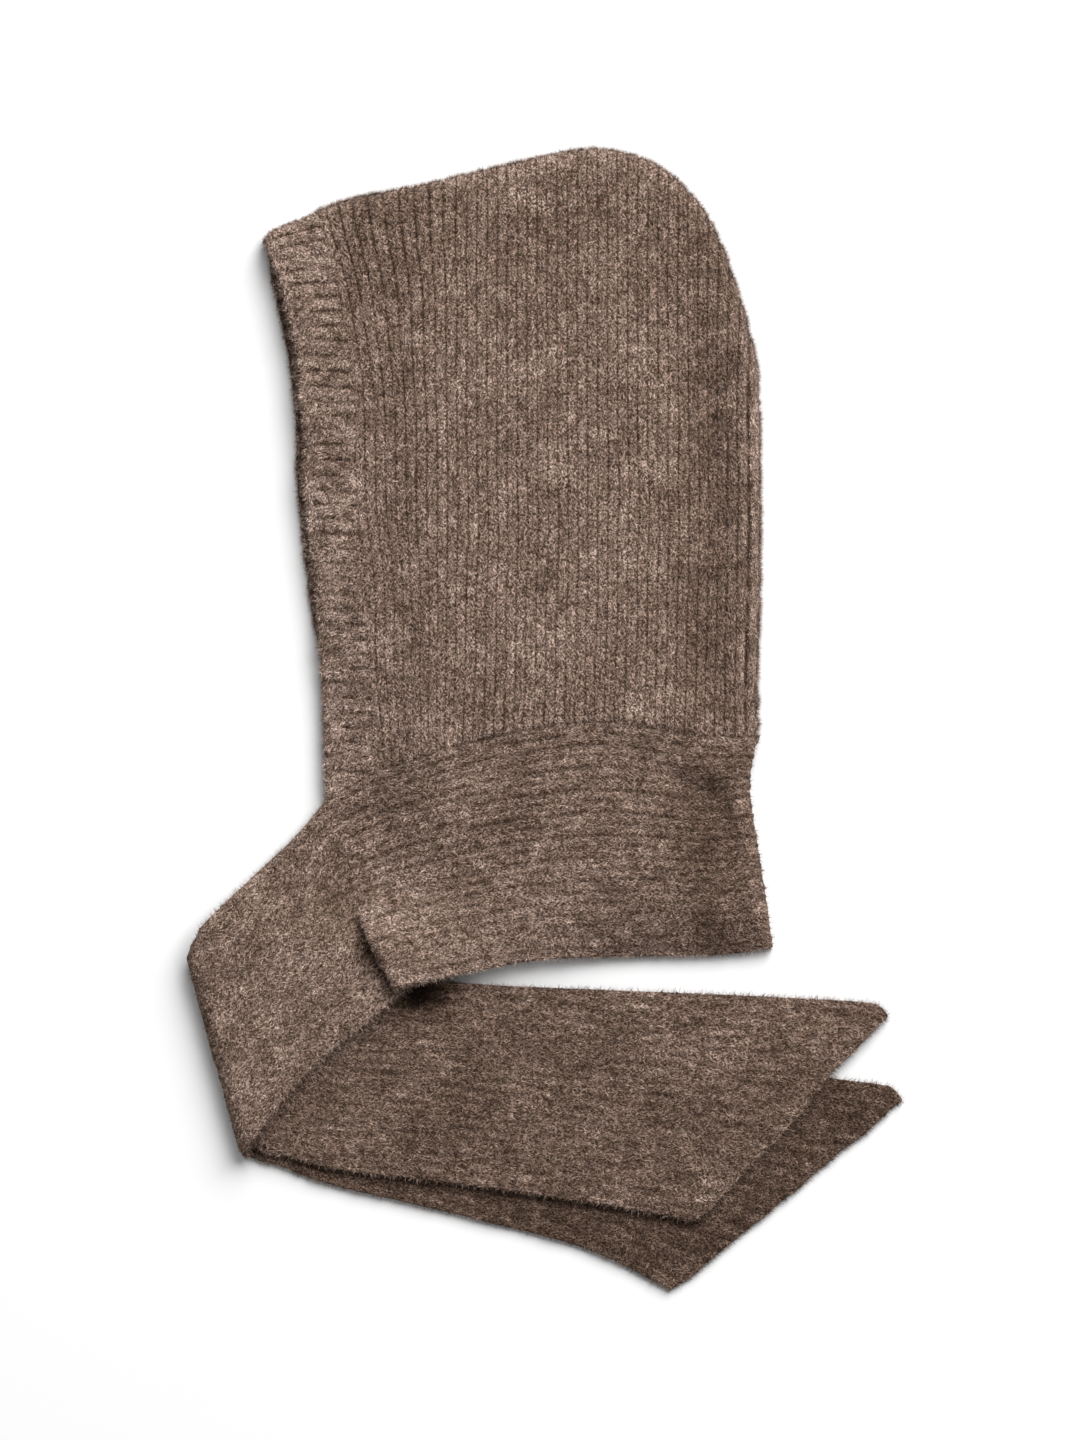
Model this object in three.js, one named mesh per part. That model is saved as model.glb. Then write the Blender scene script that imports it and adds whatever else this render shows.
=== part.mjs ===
// A knitted snood hood that lies flat on its right side, with its scarf ends folded under.
// Millimetres, +Z up. +Y points to the crown and +X to the centre back, as the hood lies.
// While it is built, x = 0 is the centre back and y = 0 the back end of the neck seam.
import * as THREE from "three";

// Driving sizes
const knit = 3.5;              // thickness of the ribbed knit
const layerGap = 0.8;          // air between two layers that lie on each other
const seamGap = 0.3;           // clearance along a seam between two pieces
const hoodDepth = 240;         // centre back to face edge, along the neck seam
const hoodHeight = 329;        // back end of the neck seam to the crown
const bandWidth = 28;          // ribbed band round the face
const facePeek = 4.6;          // how far the lower face edge shows past the upper one
const scarfWidth = 124;        // neck band and scarf ends
const foldReach = 321;         // centre back to the fold of the scarf ends
const tailReach = 399;         // that fold to the tips of the ends
const puff = 13;               // how far the upper side bulges above its rim
const puffReach = 55;          // distance from the rim over which it bulges
const rimRadius = 7;           // roll of the upper side at the crown and back
const furrowDepth = 2.6;       // hollow beside the back seam, and crease on the neck band
const furrowWidth = 11;        // half width of both
const pleatOverlap = 13;       // how far the pleat of the neck band folds under
const climb = 44;              // length of the slope by which a layer climbs onto another
const looseGap = 1.2;          // further air under the upper scarf end, which lies looser

const wool = { color: 0x7a6659, roughness: 0.95, metalness: 0 };

// Worked out from the driving sizes
const layerPitch = knit + layerGap;
const floorLayer = knit / 2;
const rimCurl = 0.75 * knit;
const climbLead = 3 * layerPitch;   // a layer is up this far before the edge it climbs onto
const rimStretch = 2.8;             // most that the rim's rows spread where the rim is steep

// The crown and back of the hood, seen from above: shares of hoodDepth forward of the
// centre back, and of hoodHeight above the neck seam.
const crownRows = [
  { forward: -0.009, up: 0.57 },
  { forward: 0.000, up: 0.638 },
  { forward: 0.037, up: 0.740 },
  { forward: 0.086, up: 0.842 },
  { forward: 0.146, up: 0.918 },
  { forward: 0.247, up: 0.978 },
  { forward: 0.389, up: 1.000 },
  { forward: 0.564, up: 0.978 },
  { forward: 0.779, up: 0.944 },
  { forward: 0.953, up: 0.910 },
  { forward: 1.079, up: 0.875 },
  { forward: 1.132, up: 0.856 },
  { forward: 1.150, up: 0.835 },
];
const backRows = [
  { up: -0.02, forward: 0.000 },
  { up: 0.10, forward: -0.004 },
  { up: 0.35, forward: -0.011 },
  { up: 0.57, forward: -0.009 },
  { up: 1.10, forward: -0.009 },
];
// The upper face edge, and the seam between the face band and the hood.
const faceRows = [
  { up: -0.12, forward: 1.000, seam: 1.00 },
  { up: 0.10, forward: 1.012, seam: 0.93 },
  { up: 0.26, forward: 1.026, seam: 0.97 },
  { up: 0.40, forward: 1.049, seam: 1.00 },
  { up: 0.57, forward: 1.058, seam: 1.03 },
  { up: 0.74, forward: 1.100, seam: 1.10 },
  { up: 0.86, forward: 1.152, seam: 1.18 },
];
// The neck seam: shares of hoodDepth forward, and of hoodHeight down.
const neckRows = [
  { forward: 0.000, down: 0.013 },
  { forward: 0.133, down: 0.003 },
  { forward: 0.226, down: -0.012 },
  { forward: 0.320, down: -0.022 },
  { forward: 0.413, down: -0.022 },
  { forward: 0.494, down: -0.014 },
  { forward: 0.587, down: -0.002 },
  { forward: 0.706, down: 0.019 },
  { forward: 0.807, down: 0.043 },
  { forward: 0.902, down: 0.068 },
  { forward: 1.000, down: 0.110 },
];
// The hem of the neck band: shares of foldReach forward, and of scarfWidth down.
const hemRows = [
  { forward: -0.031, down: 0.962 },
  { forward: 0.038, down: 0.985 },
  { forward: 0.099, down: 0.994 },
  { forward: 0.274, down: 1.003 },
  { forward: 0.387, down: 1.016 },
  { forward: 0.483, down: 1.080 },
  { forward: 0.552, down: 1.115 },
  { forward: 0.622, down: 1.138 },
];
// How far the neck band bows off a straight line from its seam to its hem, at the centre
// back and at the pleat: share of scarfWidth down, and of foldReach forward.
const bowRows = [
  { down: 0.00, back: 0.000, pleat: 0.000 },
  { down: 0.25, back: 0.017, pleat: 0.012 },
  { down: 0.50, back: 0.013, pleat: 0.030 },
  { down: 0.75, back: 0.006, pleat: 0.036 },
  { down: 1.00, back: 0.000, pleat: 0.000 },
];
// The soft crease that runs down the neck band near the centre back.
const creaseRows = [
  { down: 0.07, forward: 0.204, depth: 0.4 },
  { down: 0.25, forward: 0.099, depth: 1.0 },
  { down: 0.52, forward: 0.038, depth: 0.9 },
  { down: 0.93, forward: 0.021, depth: 0.3 },
];
// The scarf end from the pleat to its fold: the edge that the seam runs into and the hem,
// in shares of foldReach forward and of scarfWidth down.
const panelRows = [
  { topForward: 0.756, topDown: 0.316, hemForward: 0.631, hemDown: 1.197 },
  { topForward: 0.807, topDown: 0.470, hemForward: 0.709, hemDown: 1.360 },
  { topForward: 0.883, topDown: 0.655, hemForward: 0.779, hemDown: 1.513 },
  { topForward: 0.955, topDown: 0.836, hemForward: 0.836, hemDown: 1.685 },
  { topForward: 1.000, topDown: 0.971, hemForward: 0.888, hemDown: 1.883 },
];
// The two scarf ends from their folds to their slanted tips: shares of tailReach back
// from the fold, and of scarfWidth down.
const upperTailRows = [
  { topBack: 0.012, topDown: 1.010, hemBack: 0.105, hemDown: 1.852 },
  { topBack: 0.206, topDown: 1.066, hemBack: 0.200, hemDown: 1.951 },
  { topBack: 0.417, topDown: 1.129, hemBack: 0.340, hemDown: 2.009 },
  { topBack: 0.600, topDown: 1.155, hemBack: 0.470, hemDown: 2.062 },
  { topBack: 0.800, topDown: 1.181, hemBack: 0.600, hemDown: 2.126 },
  { topBack: 0.983, topDown: 1.245, hemBack: 0.722, hemDown: 2.198 },
];
const lowerTailRows = [
  { topBack: 0.000, topDown: 0.971, hemBack: 0.090, hemDown: 1.883 },
  { topBack: 0.230, topDown: 1.140, hemBack: 0.190, hemDown: 2.015 },
  { topBack: 0.430, topDown: 1.265, hemBack: 0.300, hemDown: 2.100 },
  { topBack: 0.620, topDown: 1.380, hemBack: 0.420, hemDown: 2.195 },
  { topBack: 0.820, topDown: 1.510, hemBack: 0.560, hemDown: 2.315 },
  { topBack: 0.999, topDown: 1.625, hemBack: 0.690, hemDown: 2.508 },
];

function smooth(from, to, value) {
  const share = THREE.MathUtils.clamp((value - from) / (to - from), 0, 1);
  return share * share * (3 - 2 * share);
}

// One column of a table at any place along another column, on a smooth curve through the
// rows. Past the ends the curve runs straight on.
function read(rows, column, by, place) {
  let i = 0;
  while (i < rows.length - 2 && place > rows[i + 1][by]) i += 1;
  const slope = (k) => {
    const low = rows[Math.max(k - 1, 0)];
    const high = rows[Math.min(k + 1, rows.length - 1)];
    return (high[column] - low[column]) / (high[by] - low[by]);
  };
  const span = rows[i + 1][by] - rows[i][by];
  const t = (place - rows[i][by]) / span;
  if (t < 0) return rows[i][column] + t * span * slope(i);
  if (t > 1) return rows[i + 1][column] + (t - 1) * span * slope(i + 1);
  const rise = rows[i + 1][column] - rows[i][column];
  const start = slope(i) * span;
  const end = slope(i + 1) * span;
  return rows[i][column] + start * t + (3 * rise - 2 * start - end) * t * t
    + (start + end - 2 * rise) * t * t * t;
}

// The table read by its row number, from 0 at the first row to 1 at the last.
function readRow(rows, column, share) {
  const numbered = rows.map((row, number) => ({ number, value: row[column] }));
  return read(numbered, "value", "number", share * (rows.length - 1));
}

// The crown line half a wall inside the outline, sampled from the back to the face.
const crownSteps = 160;
const crownLine = [];
for (let i = 0; i <= crownSteps; i += 1) {
  const at = (share, column) => readRow(crownRows, column, share);
  const share = i / crownSteps;
  const x = -at(share, "forward") * hoodDepth;
  const y = at(share, "up") * hoodHeight;
  const step = 0.5 / crownSteps;
  const dx = -(at(share + step, "forward") - at(share - step, "forward")) * hoodDepth;
  const dy = (at(share + step, "up") - at(share - step, "up")) * hoodHeight;
  const length = Math.hypot(dx, dy);
  crownLine.push({ x: x - (dy / length) * knit / 2, y: y + (dx / length) * knit / 2 });
}

function crownY(x) {
  let i = 0;
  while (i < crownSteps - 1 && x < crownLine[i + 1].x) i += 1;
  const share = (x - crownLine[i].x) / (crownLine[i + 1].x - crownLine[i].x);
  return THREE.MathUtils.lerp(crownLine[i].y, crownLine[i + 1].y, Math.min(share, 1));
}

function backX(y) {
  return -read(backRows, "forward", "up", y / hoodHeight) * hoodDepth - knit / 2;
}

// Where the outline lies to the right of a point at this height.
function outlineX(y) {
  let i = 0;
  if (y <= crownLine[0].y) return backX(y);
  while (i < crownSteps - 1 && y > crownLine[i + 1].y && crownLine[i + 1].y > crownLine[i].y) i += 1;
  const share = (y - crownLine[i].y) / (crownLine[i + 1].y - crownLine[i].y);
  return THREE.MathUtils.lerp(crownLine[i].x, crownLine[i + 1].x, Math.min(share, 1));
}

function neckY(x) {
  return -read(neckRows, "down", "forward", -x / hoodDepth) * hoodHeight;
}

function faceX(y, under) {
  const up = y / hoodHeight;
  const peek = under ? facePeek * smooth(0.12, 0.24, up) * (1 - smooth(0.76, 0.84, up)) : 0;
  return -read(faceRows, "forward", "up", up) * hoodDepth - peek;
}

function bandSeamX(y) {
  return faceX(y, false) + bandWidth * read(faceRows, "seam", "up", y / hoodHeight);
}

function hemY(x) {
  return -read(hemRows, "down", "forward", -x / foldReach) * scarfWidth;
}

function bow(share, column) {
  return -read(bowRows, column, "down", share) * foldReach;
}

// The line on the neck band along which its pleat turns under, from the seam to the hem.
const pleatTop = new THREE.Vector2(-0.982 * hoodDepth, neckY(-0.982 * hoodDepth));
const pleatHem = new THREE.Vector2(-0.622 * foldReach, hemY(-0.622 * foldReach));
const pleatRun = pleatHem.clone().sub(pleatTop).normalize();
const pleatAhead = new THREE.Vector2(pleatRun.y, -pleatRun.x);
const backHem = new THREE.Vector2(0.031 * foldReach - knit / 2, hemY(0.031 * foldReach));
const backTop = new THREE.Vector2(backX(0), 0);

function pastPleat(x, y) {
  return (x - pleatTop.x) * pleatAhead.x + (y - pleatTop.y) * pleatAhead.y;
}

function tailEdgeY(rows, x) {
  const back = (x + foldReach) / tailReach;
  return -read(rows, "topDown", "topBack", back) * scarfWidth;
}

// Heights of the middle of each layer, as they climb over the ones beneath.
function overEdge(edgeY, y) {
  return smooth(-climb, 0, edgeY - y + climbLead);
}

function overLowerTail(x, y) {
  return overEdge(tailEdgeY(lowerTailRows, x), y);
}

function overUpperTail(x, y) {
  return overEdge(tailEdgeY(upperTailRows, x), y);
}

function lowerTailZ() {
  return floorLayer;
}

function upperTailZ(x, y) {
  return floorLayer + layerPitch * overLowerTail(x, y);
}

function underLayerZ(x, y) {
  const near = 1 - smooth(-0.40 * foldReach, -0.20 * foldReach, x);
  return floorLayer + near * layerPitch * (overLowerTail(x, y) + overUpperTail(x, y));
}

function rimRise(distance, radius) {
  const share = 1 - Math.min(Math.max(distance, 0), radius) / radius;
  return radius * Math.sqrt(1 - share * share);
}

function rimDistance(x, y) {
  const toSide = Math.max(outlineX(y) - x, 0);
  const toTop = Math.max(crownY(x) - y, 0);
  if (toSide === 0 || toTop === 0) return 0;
  return 1 / Math.hypot(1 / toSide, 1 / toTop);
}

function bulge(x, y, distance) {
  const rise = 1 - Math.exp(-((distance / puffReach) ** 2));
  const fromFace = Math.max(x - faceX(y, false), 0);
  const atFace = 1 - 0.85 * Math.exp(-((fromFace / (1.2 * puffReach)) ** 2));
  const fromHem = Math.max(y - hemY(x), 0);
  const atHem = 1 - Math.exp(-((fromHem / (1.6 * puffReach)) ** 2));
  return puff * rise * atFace * atHem;
}

function furrow(x, y, distance) {
  const up = y / hoodHeight;
  const window = smooth(0.0, 0.12, up) * (1 - smooth(0.55, 0.75, up));
  return furrowDepth * window * Math.exp(-(((distance - 2 * furrowWidth) / furrowWidth) ** 2));
}

function crease(x, y) {
  const down = -y / scarfWidth;
  const first = creaseRows[0].down;
  const last = creaseRows[creaseRows.length - 1].down;
  const inside = smooth(first - 0.1, first, down) * (1 - smooth(last, last + 0.1, down));
  const place = THREE.MathUtils.clamp(down, first, last);
  const middle = -read(creaseRows, "forward", "down", place) * foldReach;
  const depth = read(creaseRows, "depth", "down", place) * furrowDepth * inside;
  return depth * Math.exp(-(((x - middle) / furrowWidth) ** 2));
}

// The upper side of the hood and neck band, given its distance from the back fold.
function upperZ(x, y, distance) {
  const offRim = smooth(0, 2 * rimRadius, distance);
  const air = seamGap + rimCurl + rimRise(distance, rimRadius) + bulge(x, y, distance)
    - offRim * (furrow(x, y, distance) + crease(x, y));
  const closed = smooth(-0.25 * hoodDepth, 0, pastPleat(x, y));
  return underLayerZ(x, y) + THREE.MathUtils.lerp(air, layerPitch + looseGap, closed);
}

function lowerZ(x, y, distance) {
  return underLayerZ(x, y) + rimCurl - rimRise(distance, rimCurl);
}

// The direction of a line of points at one of them. At either end it follows the curve
// through the last three.
function direction(point, at, last) {
  if (at > 0 && at < last) return point(at + 1).clone().sub(point(at - 1));
  const sign = at === 0 ? 1 : -1;
  const onward = point(at + sign).clone().multiplyScalar(4).sub(point(at + 2 * sign));
  return onward.addScaledVector(point(at), -3).multiplyScalar(sign);
}

// A closed wall of knit about a grid of points on its middle surface, rows by columns. It
// stands upright along a sewn rim, which is the first row and column.
function knitSheet(rows, sewnRim) {
  const high = rows.length;
  const wide = rows[0].length;
  const facing = (i, j) => {
    const along = direction((k) => rows[k][j], i, high - 1);
    const across = direction((k) => rows[i][k], j, wide - 1);
    const normal = across.cross(along);
    if (sewnRim && (i === 0 || j === 0)) normal.z = 0;
    return normal.normalize();
  };
  const points = [];
  const triangles = [];
  for (const side of [1, -1]) {
    for (let i = 0; i < high; i += 1) {
      for (let j = 0; j < wide; j += 1) {
        points.push(...facing(i, j).multiplyScalar(side * knit / 2).add(rows[i][j]).toArray());
      }
    }
  }
  const outer = (i, j) => i * wide + j;
  const inner = (i, j) => high * wide + outer(i, j);
  for (let i = 0; i < high - 1; i += 1) {
    for (let j = 0; j < wide - 1; j += 1) {
      triangles.push(outer(i, j), outer(i, j + 1), outer(i + 1, j + 1));
      triangles.push(outer(i, j), outer(i + 1, j + 1), outer(i + 1, j));
      triangles.push(inner(i, j), inner(i + 1, j + 1), inner(i, j + 1));
      triangles.push(inner(i, j), inner(i + 1, j), inner(i + 1, j + 1));
    }
  }
  const close = (i, j, k, l) => {
    triangles.push(outer(i, j), inner(k, l), outer(k, l));
    triangles.push(outer(i, j), inner(i, j), inner(k, l));
  };
  for (let j = 0; j < wide - 1; j += 1) {
    close(0, j, 0, j + 1);
    close(high - 1, j + 1, high - 1, j);
  }
  for (let i = 0; i < high - 1; i += 1) {
    close(i + 1, 0, i, 0);
    close(i, wide - 1, i + 1, wide - 1);
  }
  const geometry = new THREE.BufferGeometry();
  geometry.setAttribute("position", new THREE.Float32BufferAttribute(points, 3));
  geometry.setIndex(triangles);
  geometry.computeVertexNormals();
  return geometry;
}

// Distances from a rolled rim, close together on its roll and then evenly to the far side.
function rimSteps(radius, reach, turnSteps, plainSteps) {
  const steps = [];
  for (let i = 0; i <= turnSteps; i += 1) {
    steps.push(radius * (1 - Math.cos((i / turnSteps) * Math.PI / 2)));
  }
  for (let i = 1; i <= plainSteps; i += 1) {
    steps.push(THREE.MathUtils.lerp(radius, reach, i / plainSteps));
  }
  return steps;
}

// The top of the column that place(y) gives for each height.
function columnTop(place) {
  let y = hoodHeight / 2;
  for (let i = 0; i < 12; i += 1) y = crownY(place(y));
  return y;
}

// The points of one column, from the crown down to the neck seam.
function columnPoints(place, radius, heightOf, plainSteps) {
  const top = columnTop(place);
  let bottom = 0;
  for (let i = 0; i < 4; i += 1) bottom = neckY(place(bottom)) + seamGap / 2;
  const slope = (crownY(place(top) + 1) - crownY(place(top) - 1)) / 2;
  const stretch = Math.min(Math.hypot(1, slope), rimStretch);
  const drops = rimSteps(radius * stretch, top - bottom, 4, plainSteps);
  return drops.map((drop) => {
    const y = top - drop;
    const x = place(y);
    return new THREE.Vector3(x, y, heightOf(x, y, drop === 0 ? 0 : rimDistance(x, y)));
  });
}

// One side of the hood, from the face band's seam to the seam at the centre back.
function hoodSide(radius, heightOf) {
  const sideSeam = (y) => bandSeamX(y) + seamGap / 2;
  return rimSteps(radius, hoodDepth - bandWidth, 4, 18).map((fromBack) => {
    const share = fromBack / (hoodDepth - bandWidth);
    const place = (y) => THREE.MathUtils.lerp(backX(y), sideSeam(y), share);
    return columnPoints(place, radius, heightOf, 20);
  });
}

// The face band, up the upper face edge, round the crown and down the lower one.
function faceBand() {
  const columns = [];
  const acrossSteps = 6;
  for (let i = 0; i <= acrossSteps; i += 1) {
    const placeOn = (under) => (y) => {
      return THREE.MathUtils.lerp(bandSeamX(y) - seamGap / 2, faceX(y, under), i / acrossSteps);
    };
    const upper = columnPoints(placeOn(false), rimRadius, upperZ, 26);
    const lower = columnPoints(placeOn(true), rimCurl, lowerZ, 26);
    columns.push([...upper.reverse(), ...lower.slice(1)]);
  }
  return columns;
}

// The pleat turns the neck band under on two rolls of half a layer pitch. Nearer the seam
// the turn opens until there is none.
const rollRadius = 0.75 * knit;
const seamSlack = 0.025 * hoodDepth;
const seamAhead = panelPoint(0, 0, 0).sub(pleatTop).normalize();

function pleatTurn(across) {
  return Math.PI * smooth(0.34, 0.72, across);
}

function pleatLap(across) {
  return pleatOverlap * (0.08 + 0.92 * smooth(0.66, 1, across));
}

function pleatDrop(across) {
  const turn = pleatTurn(across);
  return 2 * rollRadius * (1 - Math.cos(turn)) + pleatLap(across) * Math.sin(turn);
}

const acrossCells = 10;
const shares = Array.from({ length: acrossCells + 1 }, (_, i) => i / acrossCells);

function pleatPoint(across) {
  const point = pleatTop.clone().lerp(pleatHem, across);
  point.x += bow(across, "pleat");
  return point;
}

// A row of the neck band, from the seam to the hem, at a share of the way to the pleat. The
// lower layer's hem keeps back from the upper one's.
function neckRow(share, inset, heightOf, lift) {
  return shares.map((across) => {
    const topX = THREE.MathUtils.lerp(backTop.x, pleatTop.x, share);
    const hemX = THREE.MathUtils.lerp(backHem.x, pleatHem.x, share);
    const x = THREE.MathUtils.lerp(topX, hemX, across) - inset
      + THREE.MathUtils.lerp(bow(across, "back"), bow(across, "pleat"), share);
    const hidden = heightOf === lowerZ ? 2 * layerPitch * smooth(0, 0.2, share) : 0;
    const y = THREE.MathUtils.lerp(neckY(topX) - seamGap / 2, hemY(hemX) + hidden, across);
    const z = heightOf(x, y, share === 0 ? inset : backDistance(x, across));
    return new THREE.Vector3(x, y, z + lift(across, x, y));
  });
}

function backDistance(x, across) {
  const line = THREE.MathUtils.lerp(backTop.x, backHem.x, across) + bow(across, "back");
  return Math.max(line - x, 0);
}

// The neck band's rows from the centre back, close together on its roll, to the pleat.
function neckBand(radius, heightOf, lift, count) {
  const rows = [];
  for (let i = 0; i <= 4; i += 1) {
    const inset = radius * (1 - Math.cos((i / 4) * Math.PI / 2));
    rows.push(neckRow(0, inset, heightOf, lift));
  }
  for (let i = 1; i <= count; i += 1) {
    const start = radius / foldReach;
    rows.push(neckRow(start + (1 - start) * i / count, 0, heightOf, lift));
  }
  return rows;
}

function pleatRows() {
  const turns = [0, 0.25, 0.5, 0.75, 1];
  const walk = [...turns.map((share) => [share, 0]), ...turns.map((share) => [1 - share, 1])];
  return walk.slice(1).map(([share, second], row) => shares.map((across) => {
    const full = pleatTurn(across);
    const open = seamSlack * (1 - full / Math.PI) * (row + 1) / (walk.length - 1);
    const turn = full * share;
    const lap = pleatLap(across);
    const ahead = second
      ? rollRadius * (2 * Math.sin(full) - Math.sin(turn)) + lap * Math.cos(full)
      : rollRadius * Math.sin(turn);
    const drop = second
      ? rollRadius * (1 - 2 * Math.cos(full) + Math.cos(turn)) + lap * Math.sin(full)
      : rollRadius * (1 - Math.cos(turn));
    const place = pleatPoint(across).addScaledVector(pleatAhead, ahead);
    place.addScaledVector(seamAhead, open);
    const height = upperZ(place.x, place.y, foldReach) + pleatDrop(across) - drop;
    return new THREE.Vector3(place.x, place.y, height);
  }));
}

function panelPoint(share, across, tuck) {
  const at = (column) => readRow(panelRows, column, share);
  const top = new THREE.Vector2(-at("topForward") * foldReach, -at("topDown") * scarfWidth);
  const hem = new THREE.Vector2(-at("hemForward") * foldReach, -at("hemDown") * scarfWidth);
  const edge = tuck / scarfWidth;
  const point = top.lerp(hem, THREE.MathUtils.lerp(edge, 1 - edge, across));
  point.x += bow(across, "pleat") * (1 - smooth(0, 0.4, share));
  return point;
}

function tailPoint(rows, share, across) {
  const at = (column) => readRow(rows, column, share);
  const top = new THREE.Vector2(at("topBack") * tailReach, -at("topDown") * scarfWidth);
  const hem = new THREE.Vector2(at("hemBack") * tailReach, -at("hemDown") * scarfWidth);
  const point = top.lerp(hem, across);
  point.x -= foldReach;
  return point;
}

function place(point, z) {
  return new THREE.Vector3(point.x, point.y, z);
}

// The fold of a scarf end, rolled about a line from edge to edge.
function foldRows(line, above, below) {
  const start = line(0);
  const end = line(1);
  const run = end.clone().sub(start).normalize();
  const out = new THREE.Vector2(run.y, -run.x);
  if (out.x > 0) out.negate();
  const turns = [0, 1, 2, 3, 4, 5, 6].map((i) => i * Math.PI / 6);
  return turns.map((turn) => shares.map((across) => {
    const foot = line(across);
    const high = above(foot.x, foot.y);
    const low = below(foot.x, foot.y);
    const radius = (high - low) / 2;
    foot.addScaledVector(out, radius * Math.sin(turn) - radius - knit / 2);
    return place(foot, low + radius * (1 + Math.cos(turn)));
  }));
}

// The whole scarf: the upper end from its tip, folded, across the neck, round the centre
// back, and the under end to its own tip.
function scarf() {
  const topPanelZ = (x, y) => underLayerZ(x, y) + layerPitch + looseGap;
  const towardPleat = (across, x, y) => {
    return pleatDrop(across) * smooth(-0.22 * foldReach, 0, pastPleat(x, y));
  };
  const plain = () => 0;
  const steps = (from, to, count, row) => {
    return Array.from({ length: count }, (_, i) => row(THREE.MathUtils.lerp(from, to, i / (count - 1))));
  };
  const foldTuck = 2 * layerPitch;
  const lowerTail = steps(1, 0.09, 9, (share) => shares.map((across) => {
    return place(tailPoint(lowerTailRows, share, across), lowerTailZ());
  }));
  const outerFold = foldRows((across) => panelPoint(1, across, 0), topPanelZ, lowerTailZ).reverse();
  const panel = steps(0.86, 0.14, 8, (share) => shares.map((across) => {
    const point = panelPoint(share, across, 0);
    return place(point, topPanelZ(point.x, point.y));
  }));
  const pleat = pleatRows().reverse();
  const neck = neckBand(rimRadius, upperZ, towardPleat, 18).reverse();
  const underNeck = neckBand(rimCurl, lowerZ, plain, 16).slice(1);
  const underPanel = steps(0.10, 0.77, 8, (share) => shares.map((across) => {
    const point = panelPoint(share, across, layerPitch);
    return place(point, underLayerZ(point.x, point.y));
  }));
  const underFold = foldRows((across) => {
    return panelPoint(1, across, layerPitch).add(new THREE.Vector2(foldTuck, 0));
  }, underLayerZ, upperTailZ);
  const upperTail = steps(0.11, 1, 9, (share) => shares.map((across) => {
    const point = tailPoint(upperTailRows, share, across);
    return place(point, upperTailZ(point.x, point.y));
  }));
  return [...lowerTail, ...outerFold, ...panel, ...pleat, ...neck, ...underNeck,
    ...underPanel, ...underFold, ...upperTail];
}

// Each grid's rows and columns run so that its outer face is the one seen or touched.
function turned(rows) {
  return rows[0].map((_, j) => rows.map((row) => row[j]));
}

function piece(name, rows, sewnRim) {
  const geometry = knitSheet(rows, sewnRim);
  const mesh = new THREE.Mesh(geometry, new THREE.MeshStandardMaterial(wool));
  mesh.name = name;
  return mesh;
}

const pieces = [
  piece("hood_upper_side", hoodSide(rimRadius, upperZ), true),
  piece("hood_lower_side", hoodSide(rimCurl, lowerZ), true),
  piece("face_band", faceBand(), false),
  piece("scarf", turned(scarf()), false),
];

// The origin goes to the middle of the outline, on the surface that the hood lies on.
const hood = new THREE.Group();
hood.add(...pieces);
const reach = new THREE.Box3().setFromObject(hood);
const middle = reach.getCenter(new THREE.Vector3());
for (const mesh of pieces) mesh.position.set(-middle.x, -middle.y, -reach.min.z);

export default hood;
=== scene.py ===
import math

import bmesh
import bpy
import numpy as np
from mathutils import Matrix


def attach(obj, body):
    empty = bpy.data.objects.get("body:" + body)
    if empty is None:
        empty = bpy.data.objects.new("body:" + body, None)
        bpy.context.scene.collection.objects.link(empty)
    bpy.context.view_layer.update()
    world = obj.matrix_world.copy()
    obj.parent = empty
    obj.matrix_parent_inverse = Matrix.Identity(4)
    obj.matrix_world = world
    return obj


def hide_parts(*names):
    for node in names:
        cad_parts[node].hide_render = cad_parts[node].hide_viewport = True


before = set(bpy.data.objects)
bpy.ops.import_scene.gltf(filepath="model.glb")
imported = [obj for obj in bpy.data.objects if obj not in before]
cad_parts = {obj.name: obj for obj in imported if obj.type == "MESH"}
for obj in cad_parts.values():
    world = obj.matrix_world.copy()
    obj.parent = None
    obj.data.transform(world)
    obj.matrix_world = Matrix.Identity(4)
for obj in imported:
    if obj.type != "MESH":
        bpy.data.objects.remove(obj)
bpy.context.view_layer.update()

# Upper side of the hood
# The side of the hood that lies on top: one shaped panel of one by one rib in brushed
# heather wool, with its ribs upright. It is joined to the other side round the crown and
# back, to the face band in front and to the scarf along the neck.
knit = 3.5
wall = 2.9
layer_gap = 0.8
seam_gap = -0.5
hood_depth = 240
hood_height = 329
band_width = 28
face_peek = 4.6
scarf_width = 124
fold_reach = 321
tail_reach = 399
puff = 8
puff_reach = 55
rim_radius = 9
furrow_depth = 4.5
furrow_width = 13
hem_settle = 20
hem_dip = 2.2
hem_dip_reach = 6
climb = 44
loose_gap = 1.2
layer_pitch = knit + layer_gap
floor_layer = knit / 2
rim_curl = 0.75 * knit
climb_lead = 3 * layer_pitch
rim_stretch = 2.8
outline_middle = np.array([-121.7, 8.97, 0.0])

# forward, up
crown_rows = np.array([
    (-0.009, 0.57), (0.000, 0.638), (0.037, 0.740), (0.086, 0.842), (0.146, 0.914),
    (0.250, 0.975), (0.389, 0.997), (0.564, 0.972), (0.779, 0.936), (0.953, 0.910),
    (1.079, 0.875), (1.132, 0.856), (1.150, 0.835),
])
# up, forward
back_rows = np.array([(-0.02, 0.0), (0.10, -0.004), (0.35, -0.011), (0.57, -0.009), (1.10, -0.009)])
# up, forward, seam
face_rows = np.array([
    (-0.12, 1.000, 1.00), (0.10, 1.012, 0.93), (0.26, 1.026, 0.97), (0.40, 1.049, 1.00),
    (0.57, 1.058, 1.03), (0.74, 1.100, 1.10), (0.86, 1.152, 1.18),
])
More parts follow.
